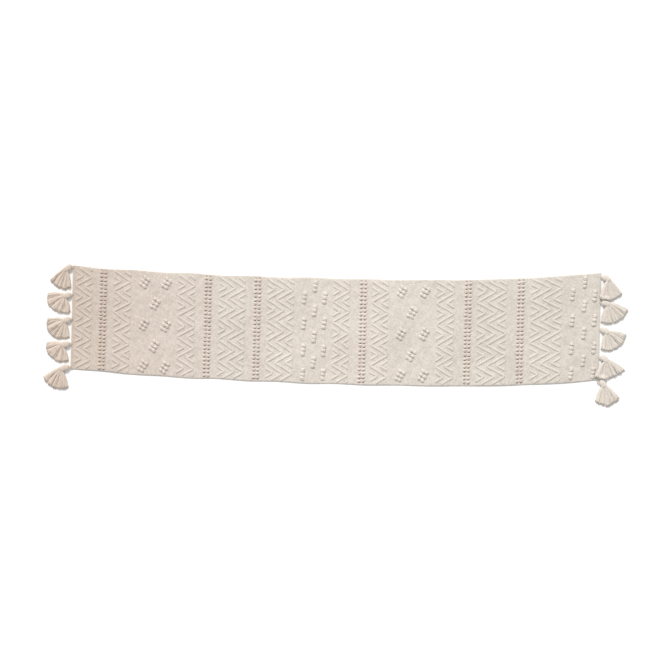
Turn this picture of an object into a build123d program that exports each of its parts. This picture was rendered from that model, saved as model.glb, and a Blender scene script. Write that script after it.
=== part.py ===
from build123d import *
import math
import os

# Table runner lying flat, face up. Millimetres, +X along the cloth, +Y across it, +Z up.
# A cloth place is (s, t): s runs from the left hem's edge along the length, t across from the middle.

# Cloth
cloth_length = 1829.0
width_at_left = 357.0
width_at_right = 372.0
cloth_thick = 2.4
cross_lean = 1.5            # degrees the cross threads lean from square
# Sideways bow of the middle line at the ends, the quarter points and the centre.
bow_points = [(-914.5, 63.0), (-457.0, 31.0), (0.0, 14.0), (457.0, 8.5), (914.5, 31.0)]
centre_shift = (-4.1, 0.4)  # puts the middle of the outer box on the origin

# Hems
hem_width = 10.0
hem_thick = 3.6
stitch_pitch = 9.0
stitch_length = 5.0
stitch_width = 1.2
stitch_high = 0.6

# Folds: the places, along the length, where the cloth bends over an edge or is folded up
fold_left = 217.0
fold_middle = 892.0
fold_right = 1575.0
fold_gap = 4.0

# Raised zigzag bands: (end of the band, at the right-pointing tips; nested full zigzags;
# spacing of the nested zigzags along the length; place across of one right-pointing tip)
chevrons = [
    (68.5, 1, 32.9, 3.0), (202.3, 1, 34.7, -4.0), (425.6, 1, 34.9, -4.4), (599.4, 2, 34.0, -6.8),
    (767.0, 2, 33.8, -6.0), (960.6, 1, 33.5, -4.8), (1095.1, 1, 33.7, -6.3), (1322.9, 1, 34.5, -7.2),
    (1504.0, 2, 36.8, -5.3), (1695.6, 2, 39.2, -2.2),
]
zigzags_across = 5          # tips from edge to edge
nest_gap = 20.6             # between nested zigzags, across the cloth
ridge_width = 9.0
ridge_high = 2.6
edge_margin = 7.0
shortest_slope = 3.0        # a ridge cut shorter than this across the cloth is left out

# Double rows of loops
braids = [107.5, 469.9, 641.1, 1007.2, 1370.6, 1553.1]
loops_across = 26
loop_row_gap = 13.5
loop_radius = 5.6
loop_high = 3.4

# Diamond knots: columns along the length, outer columns hold three, the middle one two
diamond_fields = [(250.0, 287.3, 325.5), (1140.3, 1177.0, 1220.0)]
diamond_rows = [142.5, 70.0, -4.0, -76.5, -148.5]
knot_pitch = 14.0             # between the tufts of a knot's row
knot_rows_gap = 12.6          # between its two rows
knot_lean = 60.0              # of the rows, from the length towards the top
diamond_radius = 5.4
diamond_high = 3.6

# Dashes, each three tufts in a line across the cloth: columns along the length with their rows
dash_fields = [
    {802.5: (113.5, 25.0, -66.5, -151.5), 839.0: (154.5, 70.0, -22.0, -109.0),
     873.0: (114.5, 27.0, -67.0, -150.0)},
    {1731.5: (119.0, 29.0, -67.0, -155.0), 1773.0: (158.0, 76.0, -19.0, -113.0),
     1809.0: (108.0, 23.0, -72.0, -158.0)},
]
dash_pitch = 14.0
dash_radius = 6.4
dash_high = 3.8

# Tassels: (t, distance of the head's middle beyond the hem, how far the head and then the skirt
# point down from straight out, half spread, reach from the binding, raised)
tassels = {
    "left": [
        (174.0, 14.0, 44.0, 69.0, 35.0, 63.0, False), (77.0, 15.0, 22.0, 49.0, 60.0, 59.0, False),
        (-8.0, 15.0, 25.0, 50.0, 58.0, 60.0, False), (-93.0, 19.0, 18.0, 50.0, 61.0, 56.0, False),
        (-173.0, 22.0, 37.0, 68.0, 46.0, 66.0, False),
    ],
    "right": [
        (170.0, 15.0, 50.0, 80.0, 37.0, 60.0, True), (82.0, 13.5, 28.0, 63.0, 48.0, 66.0, False),
        (-12.0, 16.0, 50.0, 58.0, 53.0, 61.0, False), (-108.0, 18.0, 63.0, 76.0, 51.0, 57.0, True),
        (-196.0, 15.0, 75.0, 79.0, 43.0, 65.0, False),
    ],
}
head_radius = 12.0
head_high = 15.0
head_round = 4.0
wrap_length = 4.5
wrap_width = 20.0
wrap_high = 13.0
wrap_lift = 1.0
skirt_neck = 17.0
skirt_high = 11.0
skirt_lift = 6.6            # underside of a skirt that lies over the cloth's corner

edge_station = 150.0        # about how far apart the points are that shape the long edges


def bow(x):
    """Sideways place of the middle line at x: the quartic through the bow points."""
    total = 0.0
    for i, (xi, yi) in enumerate(bow_points):
        share = 1.0
        for j, (xj, _) in enumerate(bow_points):
            if j != i:
                share *= (x - xj) / (xi - xj)
        total += yi * share
    return total


def half_width(s):
    """Half of the cloth's width at s, growing evenly from the left hem to the right."""
    return 0.5 * (width_at_left + (width_at_right - width_at_left) * s / cloth_length)


def place(s, t):
    """The x and y of the cloth place (s, t): the middle line plus t along the leaning cross thread."""
    x = s - 0.5 * cloth_length
    lean = math.radians(cross_lean)
    return (x + t * math.sin(lean) + centre_shift[0], bow(x) + t * math.cos(lean) + centre_shift[1])


def long_edge(side, start, end):
    """The cloth's long edge between two places, as a smooth curve."""
    steps = max(3, round((end - start) / edge_station))
    stations = [start + (end - start) * i / steps for i in range(steps + 1)]
    return Spline(*[place(s, side * half_width(s)) for s in stations])


def strip(start, end, bottom, thick):
    """A full-width stretch of cloth from start to end, thick upwards from bottom."""
    upper, lower = long_edge(1, start, end), long_edge(-1, start, end)
    sides = [Line(lower @ 0, upper @ 0), Line(lower @ 1, upper @ 1)]
    face = make_face(Wire([upper, lower, *sides]).edges())
    return extrude(face.moved(Location((0, 0, bottom))), amount=thick, dir=(0, 0, 1))


def zigzag_runs(end, nested, step, tip):
    """Every slope of a band's nested zigzags, cut to the band and the cloth, as (s, t) ends."""
    quarter = half_width(end) / zigzags_across
    slope = step / nest_gap
    reach = slope * quarter
    start = end - reach - (nested - 1) * step
    limit = half_width(end) - edge_margin
    lines = math.ceil((end - start) / step) + 2
    runs = []
    for line in range(-lines, lines + 1):
        for leg in range(-2 * zigzags_across, 2 * zigzags_across):
            t_low = tip + leg * quarter
            points_right = leg % 2 == 0
            s_low = end + line * step - (0.0 if points_right else reach)
            s_high = end + line * step - (reach if points_right else 0.0)
            piece = clipped((s_low, t_low), (s_high, t_low + quarter), start, end, limit, slope)
            if piece:
                runs.append(piece)
    return runs


def clipped(low, high, start, end, limit, slope):
    """The part of one slope inside the band and the cloth, or None if too little is left."""
    sign = 1.0 if high[0] > low[0] else -1.0
    t_from = max(low[1], -limit)
    t_to = min(high[1], limit)
    near, far = (start, end) if sign > 0 else (end, start)
    t_from = max(t_from, low[1] + sign * (near - low[0]) / slope)
    t_to = min(t_to, low[1] + sign * (far - low[0]) / slope)
    if t_to - t_from < shortest_slope:
        return None
    return [(low[0] + sign * slope * (t - low[1]), t) for t in (t_from, t_to)]


def chevron_band(end, nested, step, tip):
    """The raised ridges of one band, each slope a prism on the cloth."""
    across = 0.5 * ridge_width * math.hypot(step, nest_gap) / step
    ridges = []
    for (s0, t0), (s1, t1) in zigzag_runs(end, nested, step, tip):
        corners = [(s0, t0 - across), (s1, t1 - across), (s1, t1 + across), (s0, t0 + across)]
        outline = Polyline(*[place(s, t) for s, t in corners], close=True)
        face = make_face(outline.edges()).moved(Location((0, 0, cloth_thick)))
        ridges.append(extrude(face, amount=ridge_high, dir=(0, 0, 1)))
    return joined(ridges)


def joined(solids):
    """One compound of separate solids, with those that meet along a tip fused."""
    first, *rest = solids
    merged = first.fuse(*rest) if rest else first
    return Compound(children=list(merged.solids()))


def tuft(radius, high):
    """A low dome standing on the cloth."""
    ball = (radius**2 + high**2) / (2 * high)
    dome = Sphere(ball).moved(Location((0, 0, high - ball)))
    keep = Cylinder(2 * ball, high, align=(Align.CENTER, Align.CENTER, Align.MIN))
    return (dome & keep).solid()


def tufts(places, radius, high):
    """The same dome at each cloth place."""
    one = tuft(radius, high)
    return Compound(children=[one.moved(Location((*place(s, t), cloth_thick))) for s, t in places])


def loop_row(middle):
    """Two rows of loops across the cloth."""
    pitch = 2 * half_width(middle) / (loops_across + 1)
    rows = [-0.5 * loop_row_gap, 0.5 * loop_row_gap]
    across = [(i - 0.5 * (loops_across - 1)) * pitch for i in range(loops_across)]
    return tufts([(middle + row, t) for row in rows for t in across], loop_radius, loop_high)


def diamond_field(columns):
    """Knots of six tufts: two leaning rows of three."""
    lean = math.radians(knot_lean)
    knot = []
    for along in (-knot_pitch, 0.0, knot_pitch):
        for off in (-0.5 * knot_rows_gap, 0.5 * knot_rows_gap):
            knot.append((along * math.cos(lean) + off * math.sin(lean),
                         along * math.sin(lean) - off * math.cos(lean)))
    places = []
    for row, t in enumerate(diamond_rows):
        for column, s in enumerate(columns):
            if (row + column) % 2 == 0:
                places += [(s + ds, t + dt) for ds, dt in knot]
    return tufts(places, diamond_radius, diamond_high)


def dash_field(columns):
    """Dashes of three tufts in line across the cloth."""
    places = []
    for s, rows in columns.items():
        places += [(s, t + step * dash_pitch) for t in rows for step in (-1, 0, 1)]
    return tufts(places, dash_radius, dash_high)


def hem_stitches(s):
    """Running stitches along a hem, each a small bar across the cloth."""
    count = int(2 * (half_width(s) - stitch_length) / stitch_pitch)
    bar = Box(stitch_width, stitch_length, stitch_high, align=(Align.CENTER, Align.CENTER, Align.MIN))
    steps = [(i - 0.5 * (count - 1)) * stitch_pitch for i in range(count)]
    return Compound(children=[
        bar.moved(Location((*place(s, t), hem_thick), (0, 0, -cross_lean))).solid() for t in steps
    ])


def tassel_head():
    """A round, flattened knot."""
    base = Cylinder(head_radius, head_high, align=(Align.CENTER, Align.CENTER, Align.MIN))
    return fillet(base.edges().filter_by(GeomType.CIRCLE), head_round)


def tassel_wrap(turn):
    """The binding between head and skirt."""
    body = Box(wrap_length, wrap_width, wrap_high, align=(Align.MIN, Align.CENTER, Align.MIN))
    return body.moved(Location((head_radius, 0, wrap_lift))).moved(Location((0, 0, 0), (0, 0, turn)))


def tassel_skirt(turn, spread, reach, bottom):
    """The fan of cut yarns, from the binding to the cut end."""
    angle = math.radians(spread)
    bend = abs(math.radians(turn))
    near = 0.5 * wrap_width * math.sin(bend)
    corner = (reach * math.cos(angle), reach * math.sin(angle))
    outline = [
        Line((near, -0.5 * skirt_neck), (corner[0], -corner[1])),
        ThreePointArc((corner[0], -corner[1]), (reach, 0), corner),
        Line(corner, (near, 0.5 * skirt_neck)),
        Line((near, 0.5 * skirt_neck), (near, -0.5 * skirt_neck)),
    ]
    face = make_face(Wire(outline).edges())
    neck = Vector(head_radius + wrap_length, 0, bottom).rotate(Axis.Z, turn)
    return extrude(face, amount=skirt_high, dir=(0, 0, 1)).moved(Location(neck))


def tassel_place(side, t, beyond, droop):
    """Where a tassel's head stands and how the tassel is turned."""
    out = 1.0 if side == "right" else -1.0
    x, y = place(cloth_length if side == "right" else 0.0, t)
    turn = -droop if side == "right" else 180.0 + droop
    return Location((x + out * beyond, y, 0), (0, 0, turn))


def tassel_nodes(side):
    """The three pieces of each tassel at one end."""
    nodes = {}
    for number, (t, beyond, lean, droop, spread, reach, raised) in enumerate(tassels[side], 1):
        where = tassel_place(side, t, beyond, droop)
        turn = droop - lean if side == "right" else lean - droop
        bottom = skirt_lift if raised else 0.0
        name = f"{side}_tassel_{number}"
        nodes[f"{name}_head"] = tassel_head().moved(where)
        nodes[f"{name}_wrap"] = tassel_wrap(turn).moved(where)
        nodes[f"{name}_skirt"] = tassel_skirt(turn, spread, reach, bottom).moved(where)
    return nodes


def cloth_nodes():
    """The woven ground between the hems, parted at the folds."""
    names = ["ground_left_end", "ground_left_half", "ground_right_half", "ground_right_end"]
    folds = [fold_left, fold_middle, fold_right]
    half_gap = 0.5 * fold_gap
    starts = [hem_width] + [fold + half_gap for fold in folds]
    ends = [fold - half_gap for fold in folds] + [cloth_length - hem_width]
    return {name: strip(a, b, 0, cloth_thick) for name, a, b in zip(names, starts, ends)}


def relief_nodes():
    """Everything raised on the cloth's face."""
    nodes = {}
    for number, band in enumerate(chevrons, 1):
        nodes[f"chevron_band_{number:02d}"] = chevron_band(*band)
    for number, middle in enumerate(braids, 1):
        nodes[f"loop_row_{number}"] = loop_row(middle)
    for side, diamonds, dashes in zip(("left", "right"), diamond_fields, dash_fields):
        nodes[f"diamond_knots_{side}"] = diamond_field(diamonds)
        nodes[f"dash_tufts_{side}"] = dash_field(dashes)
    return nodes


def hem_nodes():
    """The folded hem at each end with its stitches."""
    nodes = {}
    spans = {"left": (0.0, hem_width), "right": (cloth_length - hem_width, cloth_length)}
    for side, (start, end) in spans.items():
        nodes[f"hem_{side}"] = strip(start, end, 0, hem_thick)
        nodes[f"hem_stitches_{side}"] = hem_stitches(0.5 * (start + end))
    return nodes


def all_nodes():
    nodes = {**cloth_nodes(), **relief_nodes(), **hem_nodes()}
    nodes.update(tassel_nodes("left"))
    nodes.update(tassel_nodes("right"))
    return nodes


os.makedirs("parts", exist_ok=True)
for node, shape in all_nodes().items():
    export_step(shape, f"parts/{node}.step")
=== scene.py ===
import math

import bpy
import numpy as np
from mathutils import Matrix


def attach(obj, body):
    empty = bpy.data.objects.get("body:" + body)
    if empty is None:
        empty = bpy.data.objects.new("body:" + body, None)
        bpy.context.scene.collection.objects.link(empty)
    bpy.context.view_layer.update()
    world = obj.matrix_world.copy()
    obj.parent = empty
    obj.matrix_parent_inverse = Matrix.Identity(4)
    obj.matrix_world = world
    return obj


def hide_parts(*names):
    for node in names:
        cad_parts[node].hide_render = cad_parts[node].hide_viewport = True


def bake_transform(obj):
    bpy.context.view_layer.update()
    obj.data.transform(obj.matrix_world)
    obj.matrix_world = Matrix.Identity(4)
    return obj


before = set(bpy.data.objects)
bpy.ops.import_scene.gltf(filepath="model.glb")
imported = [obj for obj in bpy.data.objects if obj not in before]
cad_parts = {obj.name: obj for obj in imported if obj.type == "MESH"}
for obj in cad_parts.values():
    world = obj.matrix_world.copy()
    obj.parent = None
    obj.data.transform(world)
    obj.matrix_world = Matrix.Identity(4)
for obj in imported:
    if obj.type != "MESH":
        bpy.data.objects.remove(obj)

# Table runner, lying flat and face up. Lengths are millimetres until a mesh is made.
# A cloth place is (s, t): s runs from the left hem's edge along the length, t across from the middle.
MM = 0.001
TAU = 2 * math.pi

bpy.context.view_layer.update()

# ---- The cloth's plan ----
cloth_length = 1829.0
width_at_left = 357.0
width_at_right = 372.0
cloth_thick = 2.4
cross_lean = math.radians(1.5)
bow_points = [(-914.5, 63.0), (-457.0, 31.0), (0.0, 14.0), (457.0, 8.5), (914.5, 31.0)]
centre_shift = (-4.1, 0.4)
hem_width = 10.0
hem_thick = 3.6
stitch_pitch = 9.0
stitch_radius = 0.62
fold_left, fold_middle, fold_right = 217.0, 892.0, 1575.0

# ---- What is raised on it ----
# Zigzag bands: (tips' end, nested zigzags, spacing along, place across of a right-pointing tip)
chevrons = [
    (68.5, 1, 32.9, 3.0), (202.3, 1, 34.7, -4.0), (425.6, 1, 34.9, -4.4), (599.4, 2, 34.0, -6.8),
    (767.0, 2, 33.8, -6.0), (960.6, 1, 33.5, -4.8), (1095.1, 1, 33.7, -6.3), (1322.9, 1, 34.5, -7.2),
    (1504.0, 2, 36.8, -5.3), (1695.6, 2, 39.2, -2.2),
]
zigzags_across = 5          # tips from edge to edge
nest_gap = 20.6             # between nested zigzags, across the cloth
ridge_width = 9.0
ridge_high = 2.8
edge_margin = 7.0
shortest_slope = 3.0        # a ridge cut shorter than this across the cloth is left out
braids = [107.5, 469.9, 641.1, 1007.2, 1370.6, 1553.1]
loops_across = 26
loop_row_gap = 13.5
knot_fields = [(250.0, 287.3, 325.5), (1140.3, 1177.0, 1220.0)]
knot_rows = [142.5, 70.0, -4.0, -76.5, -148.5]
knot_pitch = 14.0           # between the tufts of a knot's row
knot_rows_gap = 12.6        # between its two rows
knot_lean = math.radians(60)
# Dashes of three tufts: columns along the length with their rows
dash_fields = [
    {802.5: (113.5, 25.0, -66.5, -151.5), 839.0: (154.5, 70.0, -22.0, -109.0),
     873.0: (114.5, 27.0, -67.0, -150.0)},
    {1731.5: (119.0, 29.0, -67.0, -155.0), 1773.0: (158.0, 76.0, -19.0, -113.0),
     1809.0: (108.0, 23.0, -72.0, -158.0)},
]
dash_pitch = 14.0

# ---- Tassels: (t, head beyond the hem, how far the head and then the skirt point down from straight
# out, half spread, reach of the skirt at its upper side, middle and lower side, over the cloth) ----
tassels = {
    "left": [
        (174.0, 14.0, 44.0, 69.0, 36.0, (63.0, 65.0, 64.0), False),
        (77.0, 15.0, 22.0, 49.0, 62.0, (55.0, 60.0, 57.0), False),
        (-8.0, 15.0, 25.0, 50.0, 61.0, (54.0, 62.0, 62.0), False),
        (-93.0, 19.0, 18.0, 50.0, 64.0, (49.0, 56.0, 60.0), False),
        (-173.0, 22.0, 37.0, 68.0, 46.0, (62.0, 67.0, 66.0), False),
    ],
    "right": [
        (170.0, 15.0, 50.0, 80.0, 38.0, (64.0, 68.0, 67.0), True),
        (82.0, 13.5, 28.0, 63.0, 49.0, (70.0, 67.0, 67.0), False),
        (-12.0, 16.0, 50.0, 58.0, 54.0, (66.0, 62.0, 58.0), False),
        (-108.0, 18.0, 63.0, 76.0, 52.0, (69.0, 58.0, 68.0), True),
        (-194.0, 15.0, 76.0, 79.0, 43.0, (66.0, 67.0, 58.0), False),
    ],
}
head_middle = 7.6
neck_from = 15.0            # from the head's middle to the binding's middle
skirt_lift = 6.6            # of a skirt that lies over the cloth's corner
head_top = 14.5
head_clear = 4.5            # from the hem's edge to the head
half_head = 8.6             # of its width in plan
yarns_in_skirt = 190
locks_in_skirt = 5
yarn_radius = 1.7
cord_radius = 1.35
cord_outside = 6.0          # how far a cord runs out past the hem's edge
cord_inside = 4.0           # and in over the hem
cord_spread = 1.7           # each strand off the middle
cord_in_hem = 4.4


# ======== The cloth's surface ========

def bow(x):
    """Sideways place of the middle line: the quartic through the bow points."""
    known = np.array(bow_points)
    return np.polyval(np.polyfit(known[:, 0] / 1000, known[:, 1], 4), np.asarray(x) / 1000)


def waves(s, t, length, seed, count=7):
    """Smooth random swell about zero: a sum of sines in random directions, about one unit high."""
    draw = np.random.default_rng(seed)
    total = 0.0
    for _ in range(count):
        angle, phase, scale = draw.uniform(0, TAU), draw.uniform(0, TAU), draw.uniform(0.7, 1.5)
        along = s * math.cos(angle) + t * math.sin(angle)
        total = total + np.sin(TAU * along / (length * scale) + phase)
    return total / math.sqrt(count / 2)


def even_half(s):
    """Half the cloth's width at s, growing evenly from the left hem to the right."""
    return 0.5 * (width_at_left + (width_at_right - width_at_left) * s / cloth_length)


def half_width(s):
    """The half width with the small waver of a hand-woven edge."""
    return even_half(s) + 0.7 * waves(s, 0 * s, 130.0, 11)


def plan(s, t):
    """x and y of cloth places: the middle line plus t along the leaning cross thread."""
    x = s - 0.5 * cloth_length
    return (x + t * math.sin(cross_lean) + centre_shift[0],
            bow(x) + t * math.cos(cross_lean) + centre_shift[1])


def lift(s, t):
    """How far the cloth's underside lies off the table: low swells, none at the folds."""
    swell = 0.55 + 0.45 * waves(s, t, 260.0, 5)
    near_fold = sum(np.exp(-((s - fold) / 30.0) ** 2) for fold in (fold_left, fold_middle, fold_right))
    return 1.1 * np.clip(swell, 0, None) * np.clip(1 - near_fold, 0, 1)


def on_cloth(s, t, up):
    """Points in space a height up above the ground cloth's upper face."""
    x, y = plan(s, t)
    return np.stack([x, y, up + cloth_thick + lift(s, t)], axis=-1)


# ======== Meshes from arrays ========

def make_mesh(name, points, faces, material, uv=None):
    """A piece from points in millimetres and a list of face arrays, with corner uv if given."""
    mesh = bpy.data.meshes.new(name)
    mesh.vertices.add(len(points))
    mesh.vertices.foreach_set("co", (np.asarray(points) * MM).astype(np.float32).ravel())
    corners = np.concatenate([f.ravel() for f in faces]).astype(np.int32)
    sizes = np.concatenate([np.full(len(f), f.shape[1]) for f in faces])
    mesh.loops.add(len(corners))
    mesh.loops.foreach_set("vertex_index", corners)
    mesh.polygons.add(len(sizes))
    mesh.polygons.foreach_set("loop_start", np.concatenate([[0], np.cumsum(sizes)[:-1]]).astype(np.int32))
    mesh.update(calc_edges=True)
    mesh.polygons.foreach_set("use_smooth", np.ones(len(sizes), dtype=bool))
    if uv is not None:
        layer = mesh.uv_layers.new(name="UVMap")
        layer.data.foreach_set("uv", (np.asarray(uv) * MM).astype(np.float32).ravel())
    mesh.materials.append(material)
    piece = bpy.data.objects.new(name, mesh)
    bpy.context.scene.collection.objects.link(piece)
    return piece


def lofts(rings):
    """Closed tubes through rings of points, shape (tubes, rings, sides, 3), each end shut by a pole.

    Returns points, faces and corner uv, where u runs along the tube and v round it.
    """
    tubes, count, sides, _ = rings.shape
    poles = rings[:, [0, -1]].mean(axis=2)
    points = np.concatenate([rings.reshape(tubes, -1, 3), poles], axis=1)
    i, j = np.meshgrid(np.arange(count - 1), np.arange(sides), indexing="ij")
    next_j = (j + 1) % sides
    quad = np.stack([i * sides + j, i * sides + next_j, (i + 1) * sides + next_j, (i + 1) * sides + j], -1)
    quad = quad.reshape(-1, 4)
    turn = np.arange(sides)
    after = (turn + 1) % sides
    first, last = count * sides, count * sides + 1
    start = np.stack([np.full(sides, first), after, turn], -1)
    end = np.stack([np.full(sides, last), turn + (count - 1) * sides, after + (count - 1) * sides], -1)
    tri = np.concatenate([start, end])
    offset = (np.arange(tubes) * points.shape[1])[:, None, None]
    middles = rings.mean(axis=2)
    steps = np.linalg.norm(np.diff(middles, axis=1), axis=2)
    along = np.concatenate([np.zeros((tubes, 1)), np.cumsum(steps, axis=1)], axis=1)
    size = np.linalg.norm(rings[:, 0, 0] - middles[:, 0], axis=1).mean() + 1e-6
    round_step = TAU * max(size, 0.3) / sides
    u = np.stack([along[:, i], along[:, i], along[:, i + 1], along[:, i + 1]], -1).reshape(tubes, -1, 4)
    v = np.broadcast_to(np.stack([j, j + 1, j + 1, j], -1) * round_step, (tubes, *j.shape, 4))
    quad_uv = np.stack([u, v.reshape(tubes, -1, 4)], -1)
    tri_v = np.tile(np.stack([turn + 0.5, turn + 1, turn], -1) * round_step, (2, 1))
    tri_u = np.concatenate([np.zeros((tubes, sides, 3)), np.repeat(along[:, -1:, None], sides, 1)
                            + np.zeros((1, 1, 3))], axis=1)
    tri_uv = np.stack([tri_u, np.broadcast_to(tri_v, tri_u.shape)], -1)
    faces = [(quad[None] + offset).reshape(-1, 4), (tri[None] + offset).reshape(-1, 3)]
    uv = np.concatenate([quad_uv.reshape(-1, 2), tri_uv.reshape(-1, 2)])
    return points.reshape(-1, 3), faces, uv


def gather(shapes):
    """Several (points, faces, uv) shapes as one."""
    points, quads, tris, quad_uv, tri_uv, offset = [], [], [], [], [], 0
    for p, (quad, tri), uv in shapes:
        points.append(p)
        quads.append(quad + offset)
        tris.append(tri + offset)
        quad_uv.append(uv[:4 * len(quad)])
        tri_uv.append(uv[4 * len(quad):])
        offset += len(p)
    return (np.concatenate(points), [np.concatenate(quads), np.concatenate(tris)],
            np.concatenate(quad_uv + tri_uv))


def tube_rings(paths, radius, sides, across):
    """Round rings along paths (tubes, points, 3); across is a direction that is never along a path."""
    ahead = np.gradient(paths, axis=1)
    ahead /= np.linalg.norm(ahead, axis=2, keepdims=True) + 1e-9
    side = across - ahead * (across * ahead).sum(-1, keepdims=True)
    side /= np.linalg.norm(side, axis=2, keepdims=True) + 1e-9
    up = np.cross(ahead, side)
    angle = np.arange(sides) * TAU / sides
    radius = np.broadcast_to(radius, paths.shape[:2])[..., None, None]
    ring = np.cos(angle)[:, None] * side[:, :, None] + np.sin(angle)[:, None] * up[:, :, None]
    return paths[:, :, None] + radius * ring


# ======== Materials ========

def new_group(name, inputs, outputs):
    """An empty shader node group with float or colour sockets."""
    group = bpy.data.node_groups.new(name, "ShaderNodeTree")
    kinds = {"value": "NodeSocketFloat", "colour": "NodeSocketColor", "vector": "NodeSocketVector"}
    for label, kind, default in inputs:
        socket = group.interface.new_socket(label, in_out="INPUT", socket_type=kinds[kind])
        if default is not None:
            socket.default_value = default
    for label, kind in outputs:
        group.interface.new_socket(label, in_out="OUTPUT", socket_type=kinds[kind])
    return group, group.nodes.new("NodeGroupInput"), group.nodes.new("NodeGroupOutput")


def math_node(group, operation, a, b=None):
    """One step of arithmetic; a and b are sockets or numbers."""
    node = group.nodes.new("ShaderNodeMath")
    node.operation = operation
    for slot, value in zip(node.inputs, (a, b)):
        if value is None:
            continue
        if isinstance(value, (int, float)):
            slot.default_value = value
        else:
            group.links.new(value, slot)
    return node.outputs[0]


def ramp_node(group, value, stops):
    """A colour ramp from (place, grey or colour) stops."""
    ramp = group.nodes.new("ShaderNodeValToRGB")
    elements = ramp.color_ramp.elements
    while len(elements) < len(stops):
        elements.new(0.5)
    for element, (place, colour) in zip(elements, stops):
        element.position = place
        element.color = (*colour, 1)
    group.links.new(value, ramp.inputs["Fac"])
    return ramp.outputs["Color"]


def slub_group():
    """Undyed cotton on Object coordinates: broad drift, patches, flecks, and ends a little darker."""
    group, given, out = new_group(
        "slub_colour",
        [("Light", "colour", (1, 1, 1, 1)), ("Dark", "colour", (0, 0, 0, 1)), ("Fleck", "value", 0.5)],
        [("Colour", "colour")])
    where = group.nodes.new("ShaderNodeTexCoord")
    sizes = {"broad": (7.0, 3.0), "patch": (55.0, 3.0), "fleck": (190.0, 2.0)}
    noises = {}
    for name, (scale, detail) in sizes.items():
        noise = group.nodes.new("ShaderNodeTexNoise")
        noise.inputs["Scale"].default_value = scale
        noise.inputs["Detail"].default_value = detail
        group.links.new(where.outputs["Object"], noise.inputs["Vector"])
        noises[name] = noise.outputs["Fac"]
    share = math_node(group, "ADD", math_node(group, "MULTIPLY", noises["broad"], 0.45),
                      math_node(group, "MULTIPLY", noises["patch"], 0.55))
    flecks = math_node(group, "MULTIPLY", noises["fleck"], given.outputs["Fleck"])
    share = math_node(group, "ADD", share, flecks)
    half_fleck = math_node(group, "MULTIPLY", given.outputs["Fleck"], 0.5)
    centred = math_node(group, "SUBTRACT", share, half_fleck)
    spread = math_node(group, "MULTIPLY_ADD", centred, 2.2)
    spread.node.inputs[2].default_value = -0.6
    mix = group.nodes.new("ShaderNodeMix")
    mix.data_type = "RGBA"
    group.links.new(spread, mix.inputs["Factor"])
    group.links.new(given.outputs["Light"], mix.inputs["A"])
    group.links.new(given.outputs["Dark"], mix.inputs["B"])
    parts = group.nodes.new("ShaderNodeSeparateXYZ")
    group.links.new(where.outputs["Object"], parts.inputs["Vector"])
    along = math_node(group, "MULTIPLY_ADD", parts.outputs["X"], 0.5)
    along.node.inputs[2].default_value = 0.5
    ends = ramp_node(group, along, end_tints)
    tinted = group.nodes.new("ShaderNodeMix")
    tinted.data_type = "RGBA"
    tinted.blend_type = "MULTIPLY"
    tinted.inputs["Factor"].default_value = 1.0
    group.links.new(mix.outputs["Result"], tinted.inputs["A"])
    group.links.new(ends, tinted.inputs["B"])
    group.links.new(tinted.outputs["Result"], out.inputs["Colour"])
    return group


def twist_group():
    """Height of a plied yarn: slanted strands wound along the uv, each rounded, with loose fibres."""
    group, given, out = new_group(
        "yarn_twist", [("Pitch", "value", 0.004), ("Slant", "value", 1.0)], [("Height", "value")])
    where = group.nodes.new("ShaderNodeTexCoord")
    parts = group.nodes.new("ShaderNodeSeparateXYZ")
    group.links.new(where.outputs["UV"], parts.inputs["Vector"])
    slanted = math_node(group, "MULTIPLY", parts.outputs["Y"], given.outputs["Slant"])
    run = math_node(group, "ADD", parts.outputs["X"], slanted)
    turns = math_node(group, "MULTIPLY", math_node(group, "DIVIDE", run, given.outputs["Pitch"]), math.pi)
    strand = math_node(group, "ABSOLUTE", math_node(group, "SINE", turns))
    fibres = group.nodes.new("ShaderNodeTexNoise")
    fibres.inputs["Scale"].default_value = 1400.0
    fibres.inputs["Detail"].default_value = 2.0
    group.links.new(where.outputs["Object"], fibres.inputs["Vector"])
    fuzz = math_node(group, "MULTIPLY", fibres.outputs["Fac"], 0.35)
    group.links.new(math_node(group, "ADD", strand, fuzz), out.inputs["Height"])
    return group


def weave_group():
    """Height of a plain weave on the uv: threads over and under, as a product of two sines, with slubs."""
    group, given, out = new_group(
        "plain_weave", [("Thread", "value", 0.0025)], [("Height", "value")])
    where = group.nodes.new("ShaderNodeTexCoord")
    parts = group.nodes.new("ShaderNodeSeparateXYZ")
    group.links.new(where.outputs["UV"], parts.inputs["Vector"])
    waves_both = []
    for axis in ("X", "Y"):
        turns = math_node(group, "DIVIDE", parts.outputs[axis], given.outputs["Thread"])
        waves_both.append(math_node(group, "SINE", math_node(group, "MULTIPLY", turns, math.pi)))
    checks = math_node(group, "ABSOLUTE", math_node(group, "MULTIPLY", *waves_both))
    slubs = group.nodes.new("ShaderNodeTexNoise")
    slubs.inputs["Scale"].default_value = 260.0
    slubs.inputs["Detail"].default_value = 3.0
    group.links.new(where.outputs["Object"], slubs.inputs["Vector"])
    uneven = math_node(group, "MULTIPLY", slubs.outputs["Fac"], 0.9)
    group.links.new(math_node(group, "ADD", checks, uneven), out.inputs["Height"])
    return group


# Along the runner, 0 at one metre left of the middle and 1 at one metre right: a colour multiplied in,
# darker and pinker towards the left end, a little darker at the right end
end_tints = [
    (0.04, (0.86, 0.80, 0.76)), (0.10, (0.875, 0.82, 0.80)), (0.16, (0.93, 0.885, 0.87)),
    (0.32, (0.955, 0.945, 0.935)), (0.56, (1.0, 0.99, 0.985)), (0.76, (0.955, 0.955, 0.95)),
    (0.94, (0.955, 0.955, 0.95)), (0.97, (0.92, 0.92, 0.92)),
]
slub = slub_group()
twist = twist_group()
weave = weave_group()


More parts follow.
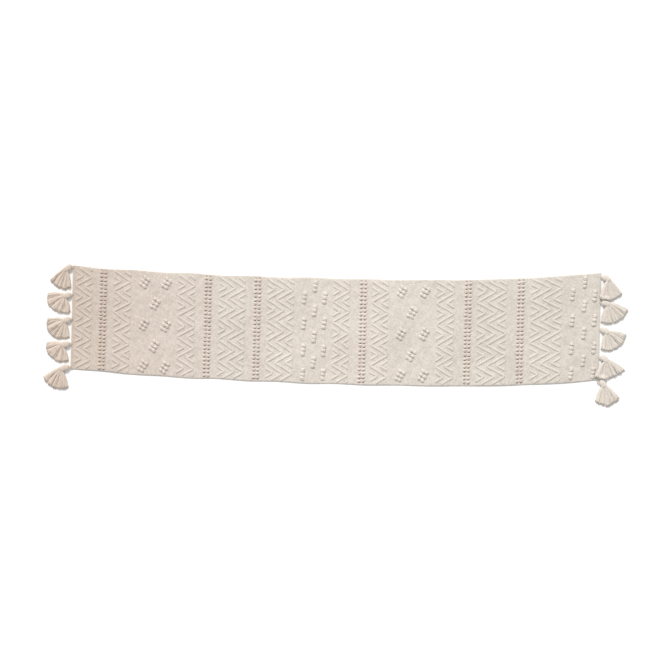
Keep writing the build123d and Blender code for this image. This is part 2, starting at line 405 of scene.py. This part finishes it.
def cotton(name, light, dark, fleck=0.4, pitch=None, slant=1.0, thread=None, bump=0.4, depth=0.0004,
           shade=False):
    """Matt cotton: drifting colour, yarn twist or weave as bump, a soft sheen, and painted shade if shade is
    set.
    """
    material = bpy.data.materials.new(name)
    material.use_nodes = True
    tree = material.node_tree
    shader = tree.nodes["Principled BSDF"]
    shader.inputs["Roughness"].default_value = 0.92
    shader.inputs["Specular IOR Level"].default_value = 0.2
    shader.inputs["Sheen Weight"].default_value = 0.25
    shader.inputs["Sheen Roughness"].default_value = 0.6
    colour = tree.nodes.new("ShaderNodeGroup")
    colour.node_tree = slub
    colour.inputs["Light"].default_value = (*light, 1)
    colour.inputs["Dark"].default_value = (*dark, 1)
    colour.inputs["Fleck"].default_value = fleck
    surface = colour.outputs["Colour"]
    # painted shade: warm brown mixed in by the point attribute
    if shade:
        surface = shaded(tree, surface)
    tree.links.new(surface, shader.inputs["Base Color"])
    height = tree.nodes.new("ShaderNodeGroup")
    if thread:
        height.node_tree = weave
        height.inputs["Thread"].default_value = thread
    else:
        height.node_tree = twist
        height.inputs["Pitch"].default_value = pitch
        height.inputs["Slant"].default_value = slant
    relief = tree.nodes.new("ShaderNodeBump")
    relief.inputs["Strength"].default_value = bump
    relief.inputs["Distance"].default_value = depth
    tree.links.new(height.outputs["Height"], relief.inputs["Height"])
    tree.links.new(relief.outputs["Normal"], shader.inputs["Normal"])
    return material


def shaded(tree, surface):
    """Painted shade: the colour darkened to warm brown as far as the ground's point attribute for it says.
    """
    depth = tree.nodes.new("ShaderNodeAttribute")
    depth.attribute_name = "dent_and_painted_shade"
    mix = tree.nodes.new("ShaderNodeMix")
    mix.data_type = "RGBA"
    mix.inputs["B"].default_value = (*painted_shade_brown, 1)
    tree.links.new(depth.outputs["Fac"], mix.inputs["Factor"])
    tree.links.new(surface, mix.inputs["A"])
    return mix.outputs["Result"]


# painted shade: the warm brown of the shade in the gaps between loops and beside the tufts
painted_shade_brown = (0.25, 0.175, 0.12)
# the ground cloth's colour carries the painted shade
ground_cotton = cotton("ground_cotton", (0.735, 0.685, 0.625), (0.60, 0.545, 0.485), 1.1, thread=0.0024,
                       bump=0.5, depth=0.0005, shade=True)
ridge_cotton = cotton("ridge_cotton", (0.745, 0.69, 0.635), (0.635, 0.58, 0.52), 0.5, pitch=0.0042,
                      slant=0.6)
loop_cotton = cotton("loop_cotton", (0.84, 0.765, 0.70), (0.72, 0.64, 0.575), 0.5, pitch=0.0030, slant=0.8)
tuft_cotton = cotton("tuft_cotton", (0.83, 0.775, 0.72), (0.69, 0.63, 0.57), 0.5, pitch=0.0030, slant=0.8)
hem_cotton = cotton("hem_cotton", (0.74, 0.685, 0.625), (0.61, 0.555, 0.495), 0.5, thread=0.0024,
                    depth=0.0005)
stitch_cotton = cotton("stitch_cotton", (0.78, 0.72, 0.66), (0.66, 0.60, 0.54), 0.3, pitch=0.0012)
tassel_cotton = cotton("tassel_cotton", (0.83, 0.77, 0.70), (0.72, 0.645, 0.57), 0.4, pitch=0.0036,
                       slant=0.9)
binding_cotton = cotton("binding_cotton", (0.78, 0.715, 0.64), (0.64, 0.57, 0.49), 0.4, pitch=0.0020)


# ======== Ground cloth ========

rib_pitch = 5.0
rib_high = 0.75
top_step = (1.2, 2.7)       # grid of the upper face along and across
back_every = 4              # the back takes every fourth grid line



def ribs(s, t):
    """Height of the cross ribs: a raised cosine along the length, its spacing and depth wavering."""
    waver = 1.6 * waves(s, t, 60.0, 21)
    depth = 0.75 + 0.25 * waves(s, t, 70.0, 22)
    slubs = 0.16 * waves(s, t, 16.0, 23, 9) + 0.2 * waves(s, t, 38.0, 24, 9)
    return rib_high * depth * (0.5 + 0.5 * np.cos(TAU * (s + waver) / rib_pitch)) + slubs


def dent_and_painted_shade(s, t, at_s, at_t, half_s, half_t, depth):
    """A rounded spot, 0 outside it to its depth in its middle: how far the cloth dips there and how deep its
    painted shade is.
    """
    return depth * np.exp(-(((s - at_s) / half_s) ** 2 + ((t - at_t) / half_t) ** 2) ** 1.5)


def loop_gap_painted_shade(s, t):
    """How deep the painted shade is, and how far the cloth dips: the gaps between the loops of each double
    row.
    """
    dark = np.zeros_like(s)
    for middle in braids:
        pitch = loop_pitch(middle)
        for row in (-0.5, 0.5):
            dt = (t / pitch - np.round(t / pitch)) * pitch
            ds = s - middle - row * loop_row_gap + 0.35 * dt
            inside = np.abs(t) < 0.5 * loops_across * pitch + 2.0
            dark = np.maximum(dark, dent_and_painted_shade(ds, dt, 0.0, 0.0, 3.7, 2.7, 0.95) * inside)
    return dark


def tuft_painted_shade(s, t):
    """The same beside tufts, painted shade right of and between a dash's tufts, and along the groove of a
    knot.
    """
    dark = np.zeros_like(s)
    for knots, dashes in zip(knot_fields, dash_fields):
        spots = [(x + 7.2, y - 6.6, 2.0, 2.2, 0.5) for x, y in dash_places(dashes)]
        for x, y in knot_centres(knots):
            for along in (-0.9, -0.1, 0.8):
                ds, dt = along_knot(along * knot_pitch, 0.0)
                spots.append((x + ds, y + dt, 1.7, 4.2, 0.55))
        for x, y, half_s, half_t, depth in spots:
            near = np.abs(s[:, 0] - x) < 9.0
            dark[near] = np.maximum(dark[near], dent_and_painted_shade(s[near], t[near], x, y, half_s, half_t, depth))
    return dark


def loop_pitch(middle):
    """Between neighbouring loops of a row, across the cloth."""
    return 2 * even_half(middle) / (loops_across + 1)


def ground_piece(name, start, end):
    """A stretch of cloth: a ribbed upper face, a coarser flat back, and closed edges all round."""
    across = back_every * round(width_at_right / top_step[1] / back_every)
    along = back_every * round((end - start) / top_step[0] / back_every)
    s, share = np.meshgrid(np.linspace(start, end, along + 1), np.linspace(-1, 1, across + 1), indexing="ij")
    t = share * half_width(s)
    rim = np.clip((1 - np.abs(share)) * half_width(s) / 2.0, 0, 1)
    # dark: how deep the painted shade is in the loop gaps and beside the tufts; it also dips the upper face
    dark = np.maximum(loop_gap_painted_shade(s, t), tuft_painted_shade(s, t))
    up = ribs(s, t) * rim - 0.9 * (1 - rim) ** 2 - 1.2 * dark
    top = on_cloth(s, t, up).reshape(-1, 3)
    s_back, t_back = s[::back_every, ::back_every], t[::back_every, ::back_every]
    back = on_cloth(s_back, t_back, -cloth_thick).reshape(-1, 3)
    faces, back_faces, walls = ground_faces(along, across)
    uv = np.stack([s.ravel(), t.ravel()], -1)
    all_uv = np.concatenate([uv, np.stack([s_back.ravel(), t_back.ravel()], -1)])
    quads = np.concatenate([faces, back_faces])
    corner_uv = np.concatenate([all_uv[quads].reshape(-1, 2), all_uv[walls].reshape(-1, 2)])
    piece = make_mesh(name, np.concatenate([top, back]), [quads, walls], ground_cotton, corner_uv)
    smooth = np.arange(len(quads) + len(walls)) < len(quads)
    piece.data.polygons.foreach_set("use_smooth", smooth)
    # painted shade, kept per point for the ground's colour
    shade = piece.data.attributes.new("dent_and_painted_shade", "FLOAT", "POINT")
    values = np.concatenate([dark.ravel(), np.zeros(len(back))])
    shade.data.foreach_set("value", (0.95 * values).astype(np.float32))
    return piece


def ground_faces(along, across):
    """Faces of the upper grid, of the coarser back grid, and of the walls that join their rims."""
    rows, columns = along + 1, across + 1
    i, j = np.meshgrid(np.arange(along), np.arange(across), indexing="ij")
    grid = np.stack([i * columns + j, (i + 1) * columns + j,
                     (i + 1) * columns + j + 1, i * columns + j + 1], -1)
    step = back_every
    back_rows, back_columns = along // step + 1, across // step + 1
    i, j = np.meshgrid(np.arange(back_rows - 1), np.arange(back_columns - 1), indexing="ij")
    first = rows * columns
    back = np.stack([i * back_columns + j, i * back_columns + j + 1,
                     (i + 1) * back_columns + j + 1, (i + 1) * back_columns + j], -1) + first
    top_index = np.arange(rows * columns).reshape(rows, columns)
    back_index = np.arange(back_rows * back_columns).reshape(back_rows, back_columns) + first
    rims = [(top_index[:, 0], back_index[:, 0], False), (top_index[:, -1], back_index[:, -1], True),
            (top_index[0], back_index[0], True), (top_index[-1], back_index[-1], False)]
    walls = []
    for upper, lower, flip in rims:
        k = np.arange(len(lower) - 1)
        run = [upper[k * step + n] for n in range(step, -1, -1)]
        wall = np.stack([lower[k], lower[k + 1], *run], -1)
        walls.append(wall[:, ::-1] if flip else wall)
    return grid.reshape(-1, 4), back.reshape(-1, 4), np.concatenate(walls)


# ======== Zigzag ridges ========

def band_start(end, nested, step):
    """Where a band begins: its last full zigzag's left tips."""
    return end - step / nest_gap * even_half(end) / zigzags_across - (nested - 1) * step


def zigzag_slopes(end, nested, step, tip):
    """Every slope of a band's nested zigzags, cut to the band and the cloth: rows of s0, t0, s1, t1."""
    start = band_start(end, nested, step)
    quarter = even_half(end) / zigzags_across
    steep = step / nest_gap
    reach = steep * quarter
    limit = even_half(end) - edge_margin
    lines = math.ceil((end - start) / step) + 2
    slopes = []
    for shift in np.arange(-lines, lines + 1) * step:
        for leg in range(-2 * zigzags_across, 2 * zigzags_across):
            low = tip + leg * quarter
            from_right = leg % 2 == 0
            s_low = end + shift - (0.0 if from_right else reach)
            sign = -1.0 if from_right else 1.0
            near, far = (end, start) if from_right else (start, end)
            t_from = max(low, -limit, low + sign * (near - s_low) / steep)
            t_to = min(low + quarter, limit, low + sign * (far - s_low) / steep)
            if t_to - t_from > shortest_slope:
                slopes.append([s_low + sign * steep * (t_from - low), t_from,
                               s_low + sign * steep * (t_to - low), t_to])
    return slopes


def ridge(s0, t0, s1, t1, band):
    """One slope as a rounded ridge of slanted stitches.

    Half round across, its size rising and falling along it once a stitch; the stitch's phase slants
    from one side of the ridge to the other. The ends that are cut by the band's limits are tucked in.
    """
    length = math.hypot(s1 - s0, t1 - t0)
    count = max(6, round(length / 1.15))
    u = np.linspace(0, 1, count + 1)[:, None]
    angle = np.linspace(-0.25, 1.25, 9)[None, :] * math.pi
    across = 0.5 * ridge_width * length / abs(s1 - s0)
    stitch = 0.5 + 0.5 * np.cos(TAU * (u * length / 5.2 + 0.16 * angle))
    tuck = np.ones_like(u)
    for end_u, end_s in ((0.0, s0), (1.0, s1)):
        if min(abs(end_s - band[0]), abs(end_s - band[1])) < 0.5:
            tuck = tuck * (1 - 0.75 * np.exp(-((u - end_u) * length / 1.6) ** 2))
    swell = (0.90 + 0.14 * stitch) * (0.35 + 0.65 * tuck)
    off = across * np.cos(angle) * swell * np.ones_like(u)
    up = ridge_high * np.clip(np.sin(angle), -0.3, 1) * (0.78 + 0.24 * stitch) * tuck
    s = s0 + (s1 - s0) * u + 0 * off
    t = t0 + (t1 - t0) * u + off
    slack = 0.5 * waves(s, t, 45.0, 31)
    rings = on_cloth(s + slack, t + 0.4 * slack, up + 0.25)
    return lofts(rings[None] if s1 < s0 else rings[None, :, ::-1])


def chevron_piece(number, end, nested, step, tip):
    """All the ridges of one band."""
    limits = (band_start(end, nested, step), end)
    parts = gather([ridge(*slope, limits) for slope in zigzag_slopes(end, nested, step, tip)])
    return make_mesh(f"zigzag_yarns_{number:02d}", parts[0], parts[1], ridge_cotton, parts[2])


# ======== Loops, knots and dashes ========

def arches(name, places, span, width, high, strands, radius, material, seed, slant=0.0):
    """Bundles of yarn arching off the cloth, highest a little before their middle.

    Each strand is half an ellipse along the length, slanting down to the right by a share of its
    span; the strands of a bundle lie side by side, the outer ones lower, and both ends dip under
    the cloth's face.
    """
    draw = np.random.default_rng(seed)
    places = np.asarray(places, float)
    theta = np.linspace(-0.06, 1.06, 11) * math.pi
    rank = (np.arange(strands) - 0.5 * (strands - 1)) / max(strands - 1, 1)
    n = len(places)
    wobble = draw.normal(0, 1, (5, n, strands, 1))
    bundle = draw.normal(0, 1, (3, n, 1, 1))
    crown = 1 - 0.38 * (2 * rank) ** 2
    reach = 0.5 * span * (1 + 0.05 * wobble[0] + 0.06 * bundle[0])
    s = places[:, 0, None, None] - reach * np.cos(theta) + 0.3 * wobble[1]
    side = (width - 2 * radius) * rank[:, None] * (0.72 + 0.28 * np.sin(theta))
    t = places[:, 1, None, None] + side + 0.35 * wobble[2] + 0.6 * bundle[1] + slant * reach * np.cos(theta)
    swell = np.sin(theta) * (1 + 0.22 * np.cos(theta)) * (1 + 0.07 * wobble[3] + 0.08 * bundle[2])
    paths = on_cloth(s, t, (high - radius) * crown[:, None] * swell).reshape(n * strands, len(theta), 3)
    thick = radius * (0.82 + 0.18 * np.sin(theta)) * np.ones((n * strands, 1))
    shape = lofts(tube_rings(paths, thick, 6, np.array([math.sin(cross_lean), math.cos(cross_lean), 0.0])))
    return make_mesh(name, shape[0], shape[1], material, shape[2])


def loop_row_piece(number, middle):
    """Two rows of short loops laid along the cloth, an opening between each and the next."""
    across = (np.arange(loops_across) - 0.5 * (loops_across - 1)) * loop_pitch(middle)
    places = [(middle + row * loop_row_gap - 0.6, t) for row in (-0.5, 0.5) for t in across]
    return arches(f"row_of_loops_{number}", places, 12.6, 8.7, 4.4, 3, 1.6, loop_cotton, 40 + number, -0.14)


def knot_centres(columns):
    """The outer columns of a field of knots hold three, the middle one two."""
    return [(s, t) for row, t in enumerate(knot_rows) for column, s in enumerate(columns)
            if (row + column) % 2 == 0]


def along_knot(ds, dt):
    """A step from a knot's middle, turned to run along its leaning rows and off them."""
    c, d = math.cos(knot_lean), math.sin(knot_lean)
    return c * ds + d * dt, d * ds - c * dt


def knot_places(columns):
    """Every tuft of a field of knots: two leaning rows of three."""
    places = []
    for s, t in knot_centres(columns):
        for along in (-knot_pitch, 0.0, knot_pitch):
            for off in (-0.5 * knot_rows_gap, 0.5 * knot_rows_gap):
                ds, dt = along_knot(along, off)
                places.append((s + ds, t + dt))
    return places


def dash_places(columns):
    """Every tuft of a field of dashes, the upper ones a little further along."""
    return [(s + 1.6 * step, t + step * dash_pitch) for s, rows in columns.items() for t in rows
            for step in (-1, 0, 1)]


def knot_piece(side, columns):
    return arches(f"knots_{side}", knot_places(columns), 10.8, 12.6, 6.6, 5, 2.1, tuft_cotton, 60, 0.35)


def dash_piece(side, columns):
    return arches(f"dashes_{side}", dash_places(columns), 12.6, 13.6, 6.2, 5, 2.25, tuft_cotton, 70, 0.12)


# ======== Hems ========

def hem_piece(side):
    """The cloth turned over on itself: a flat oval section swept across the width, lightly ribbed."""
    inner = 1.0 if side == "left" else -1.0
    edge = 0.0 if side == "left" else cloth_length
    turn = np.linspace(0, TAU, 24, endpoint=False)
    share = np.linspace(-1, 1, 140)[:, None]
    ds = 0.5 * hem_width * (1 + np.sign(np.cos(turn)) * np.abs(np.cos(turn)) ** 0.6)
    up = 0.5 * hem_thick * np.sign(np.sin(turn)) * np.abs(np.sin(turn)) ** 0.6
    s = edge + inner * ds[None, :] + 0 * share
    t = share * (half_width(s) - 0.3)
    plump = 1 + 0.05 * waves(s, t, 24.0, 81)
    rings = on_cloth(s, t, up * plump + 0.5 * hem_thick - cloth_thick + 0.1)
    rings = rings[None, :, ::-1] if side == "left" else rings[None]
    points, faces, _ = lofts(rings)
    flat_uv = np.stack([points[:, 0], points[:, 1]], -1)
    corner_uv = np.concatenate([flat_uv[f].reshape(-1, 2) for f in faces])
    return make_mesh(f"hem_fold_{side}", points, faces, hem_cotton, corner_uv)


def stitch_piece(side):
    """Running stitches: short threads that rise out of the hem and dive back."""
    middle = 0.5 * hem_width if side == "left" else cloth_length - 0.5 * hem_width
    limit = float(half_width(np.array(middle))) - 6.0
    count = int(2 * limit / stitch_pitch)
    across = (np.arange(count) - 0.5 * (count - 1)) * stitch_pitch
    theta = np.linspace(-0.1, 1.1, 9) * math.pi
    t = across[:, None] - 2.6 * np.cos(theta)
    s = middle + 0.35 * np.sin(across * 1.7)[:, None] + 0 * t
    up = hem_thick - cloth_thick + 0.1 + 0.9 * np.sin(theta) + 0 * t
    points, faces, uv = lofts(tube_rings(on_cloth(s, t, up), stitch_radius, 6, np.array([1.0, 0.0, 0.0])))
    return make_mesh(f"stitches_{side}", points, faces, stitch_cotton, uv)


# ======== Tassels ========

def toward(side, droop):
    """Direction in plan that points down from straight out by an angle in degrees."""
    turn = math.radians(-droop if side == "right" else 180.0 + droop)
    return np.array([math.cos(turn), math.sin(turn)])


def head_middle_at(side, t, beyond):
    """A head's middle in plan."""
    x, y = plan(np.array(cloth_length if side == "right" else 0.0), np.array(t))
    return np.array([float(x) + (beyond if side == "right" else -beyond), float(y)])


def left_of(way):
    """A direction turned a quarter turn to its left."""
    return np.stack([-way[..., 1], way[..., 0]], -1)


def head_piece(name, middle, ahead, out, beyond):
    """Strands folded over the cord: meridians of a flattened bundle, bending from the hem to the neck."""
    strands, steps = 26, 15
    psi = (np.arange(strands) + 0.5) * TAU / strands
    u = np.linspace(0.0, 1.0, steps)[:, None]
    start, stop = middle - np.array([out * (beyond - head_clear), 0.0]), middle + neck_from * ahead
    line = (1 - u) ** 2 * start + 2 * u * (1 - u) * middle + u**2 * stop
    way = (1 - u) * (middle - start) + u * (stop - middle)
    across = left_of(way / np.linalg.norm(way, axis=1, keepdims=True))
    u = u[:, 0]
    crown = np.sqrt(1 - (1 - np.minimum(u / 0.3, 1)) ** 2.4 * 0.95)
    waist = 1 - 0.15 * np.clip((u - 0.5) / 0.5, 0, 1) ** 1.5
    wide, tall = half_head * crown * waist, (head_middle - 1.7) * crown * waist
    lumps = 1 + 0.06 * np.sin(3 * psi + 1.0)[:, None]
    flat = line[None] + (np.cos(psi)[:, None] * wide * lumps)[..., None] * across[None]
    up = head_middle + np.sin(psi)[:, None] * tall * lumps
    paths = np.concatenate([flat, up[..., None]], -1)
    sideways = np.concatenate([-np.sin(psi)[:, None, None] * across[None],
                               np.cos(psi)[:, None, None] * np.ones((1, steps, 1))], -1)
    rings = tube_rings(paths, 1.6, 7, sideways)
    rings[..., 2] = np.maximum(rings[..., 2], 0.15)
    shape = lofts(rings)
    return make_mesh(name, shape[0], shape[1], tassel_cotton, shape[2])


def wrap_piece(name, middle, ahead):
    """The binding: one thread wound five times round the neck."""
    turns, steps = 5, 150
    angle = np.linspace(0, turns * TAU, steps)[:, None]
    along = neck_from - 2.2 + 4.6 * angle / angle[-1]
    flat = middle + along * ahead + 9.0 * np.cos(angle) * left_of(ahead)
    paths = np.concatenate([flat, head_middle - 0.2 + 5.9 * np.sin(angle)], -1)[None]
    rings = tube_rings(paths, 0.75, 7, np.array([*ahead, 0.0]))
    rings[..., 2] = np.maximum(rings[..., 2], 0.15)
    shape = lofts(rings)
    return make_mesh(name, shape[0], shape[1], binding_cotton, shape[2])


def skirt_piece(name, neck, ahead, facing, spread, reach, out, rests_on, seed):
    """Cut yarns fanning from the neck to an uneven cut end, heaped in a few broad locks.

    A yarn's plan is a quadratic curve from its place in the neck to its place on the cut end, by a
    point turned further out, so the flanks bulge. It sinks from the neck's height to its layer in
    the heap, which is highest in the middle of a lock; a slow wave curls it sideways.
    """
    draw = np.random.default_rng(seed)
    strands, steps, locks = yarns_in_skirt, 16, locks_in_skirt
    rank = np.linspace(-1, 1, strands) + draw.normal(0, 0.02, strands)
    layer = draw.permutation(np.linspace(0, 1, strands))
    centres = (np.arange(locks) + 0.5) * 2 / locks - 1 + draw.uniform(-0.1, 0.1, locks)
    lock = np.abs(rank[:, None] - centres).argmin(axis=1)
    off = (rank - centres[lock]) * locks
    high, long = draw.uniform(0.65, 1.0, locks)[lock], draw.normal(0, 0.02, locks)[lock]
    crest = high * (0.45 + 0.55 * np.cos(0.5 * math.pi * np.clip(off, -1, 1)))
    angle = math.radians(spread) * (rank - 0.12 * off / locks)
    upper, middle_reach, lower = reach
    side = out * rank
    ends = np.where(side > 0, middle_reach + (upper - middle_reach) * side**2,
                    middle_reach + (lower - middle_reach) * side**2)
    ends = ends * (1 - 0.04 * layer * (layer > 0.5) + long + draw.normal(0, 0.014, strands))
    turn = math.atan2(facing[1], facing[0])
    u = np.linspace(0, 1, steps)[None, :, None]
    tight = np.sqrt(np.clip(1 - (2 * layer - 1) ** 2 * 0.6, 0, 1))
    first = neck - 2.5 * ahead + (7.6 * rank * tight)[:, None] * left_of(ahead)
    bulge, way = turn + 1.5 * angle, turn + angle
    by = neck + 0.4 * ends[:, None] * np.stack([np.cos(bulge), np.sin(bulge)], -1)
    last = neck + ends[:, None] * np.stack([np.cos(way), np.sin(way)], -1)
    flat = (1 - u) ** 2 * first[:, None] + 2 * u * (1 - u) * by[:, None] + u**2 * last[:, None]
    curl, phase, length = draw.uniform(0.4, 1.3, (3, strands, 1))
    wave = curl * u[..., 0] * np.sin(TAU * (ends[:, None] * u[..., 0] / (34 * length) + 2 * phase))
    flat = flat + wave[..., None] * np.stack([-np.sin(way), np.cos(way)], -1)[:, None]
    u = u[..., 0]
    neck_z = (head_middle + (2 * layer - 1) * 4.6 * np.sqrt(np.clip(1 - rank**2 * 0.8, 0, 1)))[:, None]
    heap = 1.7 + 8.4 * (layer * crest)[:, None] * (1 - 0.25 * u**3)
    sink = (1 - u) ** 2.2
    z = neck_z * sink + heap * (1 - sink)
    points = np.concatenate([flat, z[..., None]], -1)
    for lift_over in rests_on:
        points[..., 2] += lift_over(points)
    thick = yarn_radius * (1 - 0.08 * u) * draw.uniform(0.85, 1.15, (strands, 1))
    rings = tube_rings(points, thick, 6, np.array([0.0, 0.0, 1.0]))
    rings[..., 2] = np.maximum(rings[..., 2], 0.12)
    shape = lofts(rings)
    return make_mesh(name, shape[0], shape[1], tassel_cotton, shape[2])


def over_cloth(points):
    """Lift of a skirt over the right end of the cloth, easing to nothing beyond its edges."""
    x, y = points[..., 0], points[..., 1]
    edge_x, middle_y = plan(np.array(cloth_length), np.array(0.0))
    t = (y - middle_y) / math.cos(cross_lean)
    past_end = x - edge_x - t * math.sin(cross_lean)
    past_side = np.abs(t) - 0.5 * width_at_right
    past = np.maximum(past_end, past_side)
    ease = np.clip(1 - (past - 2.0) / 22.0, 0, 1)
    return skirt_lift * ease * ease * (3 - 2 * ease)


def over_head(middle):
    """Lift of a skirt over the next tassel's head."""
    def lifted(points):
        away = np.hypot(points[..., 0] - middle[0], points[..., 1] - middle[1])
        ease = np.clip((28.0 - away) / 16.0, 0, 1)
        return np.maximum(head_top - points[..., 2] + 2.0, 0) * ease * ease * (3 - 2 * ease)
    return lifted


def loop_piece(name, middle, out, beyond):
    """The two strands that hang the tassel: low arcs from the crown into the hem."""
    theta = np.linspace(0, 1, 12)
    start = np.array([middle[0] - out * (beyond - cord_outside), middle[1]])
    stop = np.array([middle[0] - out * (beyond + cord_inside), middle[1]])
    paths = []
    for lean in (-cord_spread, cord_spread):
        flat = start + (stop - start) * theta[:, None] + np.array([0.0, lean])
        up = head_middle + (cord_in_hem - head_middle) * theta
        up = up + 2.0 * np.sin(math.pi * theta) - 3.0 * theta**8
        paths.append(np.column_stack([flat, up]))
    points, faces, uv = lofts(tube_rings(np.array(paths), cord_radius, 7, np.array([0.0, 1.0, 0.0])))
    return make_mesh(name, points, faces, binding_cotton, uv)


# ======== Putting the runner together ========

def give(piece, body, slot, *nodes):
    """Rides a piece on its body and hides the nodes it stands for; slot is not used."""
    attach(piece, body)
    if nodes:
        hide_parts(*nodes)
    return piece


def body_at(s):
    """The body that carries the cloth at s."""
    if s < fold_left:
        return "left_end"
    if s < fold_middle:
        return "left_half"
    return "right_half" if s < fold_right else "right_end"


def point_at(s):
    """The middle of the cloth at s, in metres."""
    x, y = plan(np.array(s), np.array(0.0))
    return float(x) * MM, float(y) * MM, cloth_thick * 0.5 * MM


def bend(piece, fold, low_body, high_body):
    """Bakes a piece's transform into its mesh; low_body and high_body are not used."""
    x, y, z = point_at(fold)
    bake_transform(piece)


def make_cloth():
    """The ground in three stretches that meet under loop rows, each across one fold."""
    seams = [hem_width - 1.0, braids[2], braids[4], cloth_length - hem_width + 1.0]
    names = ["ground_cloth_left", "ground_cloth_middle", "ground_cloth_right"]
    folds = [(fold_left, "left_end", "left_half"), (fold_middle, "left_half", "right_half"),
             (fold_right, "right_half", "right_end")]
    stood = [("ground_left_end",), ("ground_left_half", "ground_right_half"), ("ground_right_end",)]
    sheets = []
    for name, start, end, fold, nodes in zip(names, seams, seams[1:], folds, stood):
        piece = ground_piece(name, start, end)
        bend(piece, *fold)
        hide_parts(*nodes)
        sheets.append((piece, start, end))
    return sheets


def make_relief():
    """Everything raised on the cloth, with the place along it."""
    made = []
    for number, band in enumerate(chevrons, 1):
        piece = chevron_piece(number, *band)
        start = band_start(*band[:3])
        made.append((start, give(piece, body_at(start), "raised_yarn", f"chevron_band_{number:02d}")))
    for number, middle in enumerate(braids, 1):
        piece = loop_row_piece(number, middle)
        made.append((middle, give(piece, body_at(middle), "loop_yarn", f"loop_row_{number}")))
    for side, knots, dashes in zip(("left", "right"), knot_fields, dash_fields):
        piece = knot_piece(side, knots)
        made.append((knots[1], give(piece, body_at(knots[1]), "tuft_yarn", f"diamond_knots_{side}")))
        piece = dash_piece(side, dashes)
        first = min(dashes)
        made.append((first, give(piece, body_at(first), "tuft_yarn", f"dash_tufts_{side}")))
    return made


def make_ends():
    """Hems, stitches and tassels at both ends, with the place along the cloth."""
    made = []
    for side, s in (("left", 0.0), ("right", cloth_length)):
        body = f"{side}_end"
        made.append((s, give(hem_piece(side), body, "hem_cloth", f"hem_{side}")))
        made.append((s, give(stitch_piece(side), body, "stitch_thread", f"hem_stitches_{side}")))
        for number, row in enumerate(tassels[side], 1):
            made += [(s, piece) for piece in make_tassel(side, number, *row)]
    return made


def make_tassel(side, number, t, beyond, lean, droop, spread, reach, raised):
    """One tassel: its head, binding and skirt turn on the head's hinge; its cord spans the joint."""
    name = f"{side}_tassel_{number}"
    middle = head_middle_at(side, t, beyond)
    ahead, facing = toward(side, lean), toward(side, droop)
    out = 1.0 if side == "right" else -1.0
    seed = 100 + 10 * number + (5 if side == "right" else 0)
    rests_on = []
    if raised:
        below = tassels[side][number]
        rests_on = [over_cloth, over_head(head_middle_at(side, below[0], below[1]))]
    bulb = head_piece(f"{name}_bulb", middle, ahead, out, beyond)
    head = give(bulb, name, "tassel_yarn", f"{name}_head")
    binding = wrap_piece(f"{name}_binding", middle, ahead)
    wrap = give(binding, name, "tassel_binding", f"{name}_wrap")
    fan = skirt_piece(f"{name}_fan", middle + neck_from * ahead, ahead, facing, spread, reach, out,
                      rests_on, seed)
    skirt = give(fan, name, "tassel_yarn", f"{name}_skirt")
    cord = loop_piece(f"{name}_cord", middle, out, beyond)
    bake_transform(cord)
    return [head, wrap, skirt, cord]


def declare(sheets, on_it):
    """Works out each stretch's width at its middle and does nothing more with it; on_it is not used."""
    for piece, start, end in sheets:
        width = float(2 * half_width(np.array(0.5 * (start + end))))


# ======== Camera, light and floor ========

def make_view():
    """A camera straight above the middle of the runner."""
    data = bpy.data.cameras.new("camera")
    data.lens = 85.0
    data.sensor_width = 36.0
    shown_width = 2.328
    camera = bpy.data.objects.new("camera", data)
    camera.location = (-0.0035, -0.002, shown_width * data.lens / data.sensor_width)
    data.clip_end = 100.0
    bpy.context.scene.collection.objects.link(camera)
    bpy.context.scene.camera = camera


def make_light():
    """One soft sun from above and a little to the left, 42 degrees high, and a bright, even sky."""
    sun = bpy.data.lights.new("key", "SUN")
    sun.energy = 2.6
    sun.angle = math.radians(14)
    sun.color = (1.0, 0.985, 0.96)
    lamp = bpy.data.objects.new("key", sun)
    tilt, heading = math.radians(48), math.radians(193)
    lamp.rotation_euler = (tilt, 0, heading)
    bpy.context.scene.collection.objects.link(lamp)
    world = bpy.data.worlds.new("sky")
    world.use_nodes = True
    world.node_tree.nodes["Background"].inputs["Color"].default_value = (1.0, 1.0, 1.0, 1)
    world.node_tree.nodes["Background"].inputs["Strength"].default_value = 0.62
    bpy.context.scene.world = world
    bpy.context.scene.view_settings.view_transform = "Standard"


def make_floor():
    """A plain pale table top."""
    size = 12000.0
    corners = np.array([[-size, -size, -0.3], [size, -size, -0.3], [size, size, -0.3], [-size, size, -0.3]])
    material = bpy.data.materials.new("pale_floor")
    material.use_nodes = True
    shader = material.node_tree.nodes["Principled BSDF"]
    shader.inputs["Base Color"].default_value = (0.93, 0.93, 0.93, 1)
    shader.inputs["Roughness"].default_value = 0.9
    make_mesh("floor", corners, [np.array([[0, 1, 2, 3]])], material)


make_view()
make_light()
make_floor()
cloth = make_cloth()
declare(cloth, make_relief() + make_ends())
